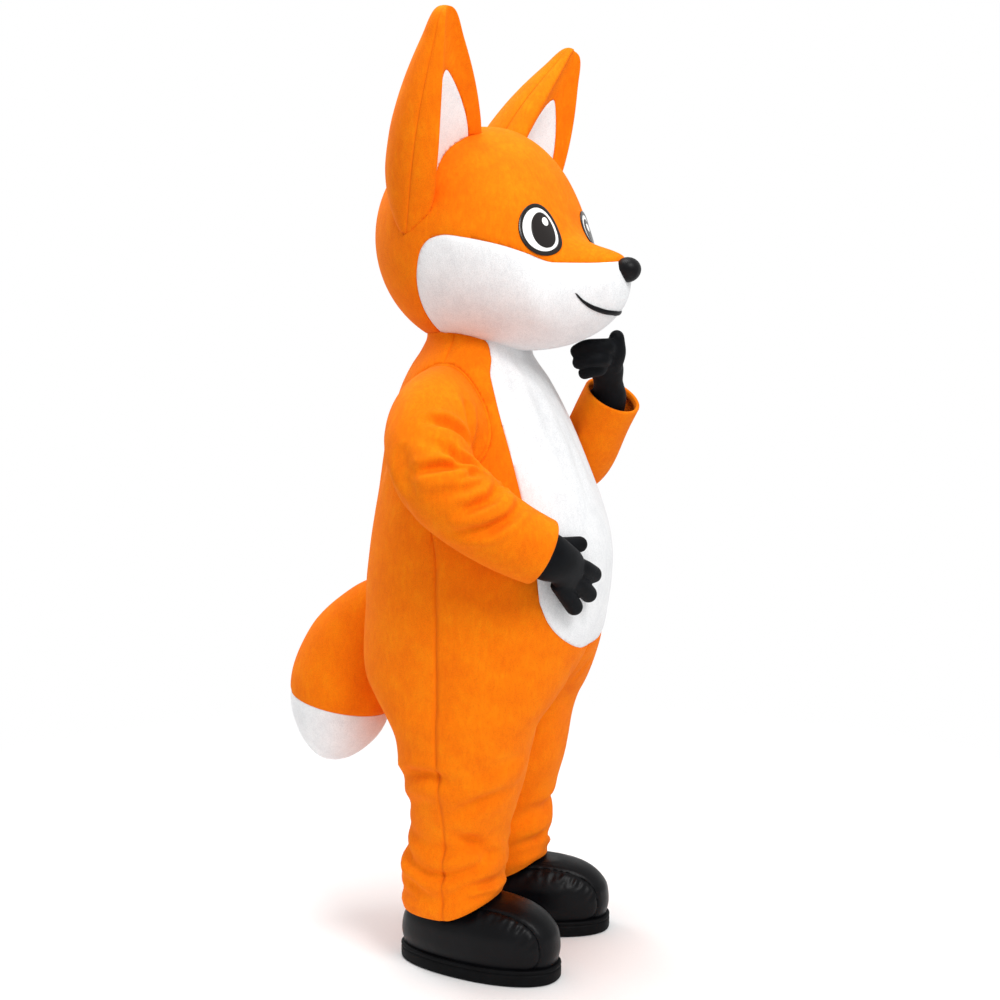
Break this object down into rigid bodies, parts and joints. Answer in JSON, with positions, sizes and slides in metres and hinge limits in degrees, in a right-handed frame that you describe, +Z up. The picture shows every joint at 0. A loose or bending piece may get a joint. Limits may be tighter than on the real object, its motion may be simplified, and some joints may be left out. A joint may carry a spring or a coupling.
{
  "type": "fox mascot costume",
  "caption": "Worn, hollow plush animal costume: suit with pale belly panel and stuffed tail, big head with upright ears, black gloves and round-toed boots.",
  "frame": {"origin": "middle of the neckline, where the suit hangs on the wearer's shoulders", "axes": "+Z up, the wearer faces -Y, the wearer's left is +X; the soles stand at z = -1.372"},
  "size_m": [0.831, 0.8411, 2.0304],
  "materials": {
    "orange_plush": "short dense pile, matt with a soft nap",
    "white_plush": "short dense pile, matt with a soft nap",
    "black_felt": "smooth satin-faced felt",
    "glove_cloth": "matt stretch knit over thin foam",
    "boot_leather": "grained synthetic leather, semi-gloss",
    "sole_rubber": "matt moulded rubber",
    "eye_dark": "gloss",
    "eye_white": "satin"
  },
  "bodies": {
    "root": {"suit_front_left": "orange_plush", "suit_back_left": "orange_plush", "suit_front_right": "orange_plush", "suit_back_right": "orange_plush", "suit_belly": "white_plush", "sleeve_left": "orange_plush", "sleeve_right": "orange_plush", "tail_base": "orange_plush", "tail_tip": "white_plush", "head_face": "white_plush", "head_crown": "orange_plush", "mouth": "black_felt", "nose": "black_felt", "ear_back_left": "orange_plush", "ear_front_left": "orange_plush", "ear_inner_left": "white_plush", "eye_rim_left": "eye_dark", "eye_white_left": "eye_white", "eye_iris_left": "eye_dark", "eye_glint_left": "eye_white", "ear_back_right": "orange_plush", "ear_front_right": "orange_plush", "ear_inner_right": "white_plush", "eye_rim_right": "eye_dark", "eye_white_right": "eye_white", "eye_iris_right": "eye_dark", "eye_glint_right": "eye_white", "glove_left": "glove_cloth", "glove_right": "glove_cloth", "boot_sole_left": "sole_rubber", "boot_vamp_left": "boot_leather", "boot_quarter_left": "boot_leather", "boot_sole_right": "sole_rubber", "boot_vamp_right": "boot_leather", "boot_quarter_right": "boot_leather"}
  },
  "joints": []
}
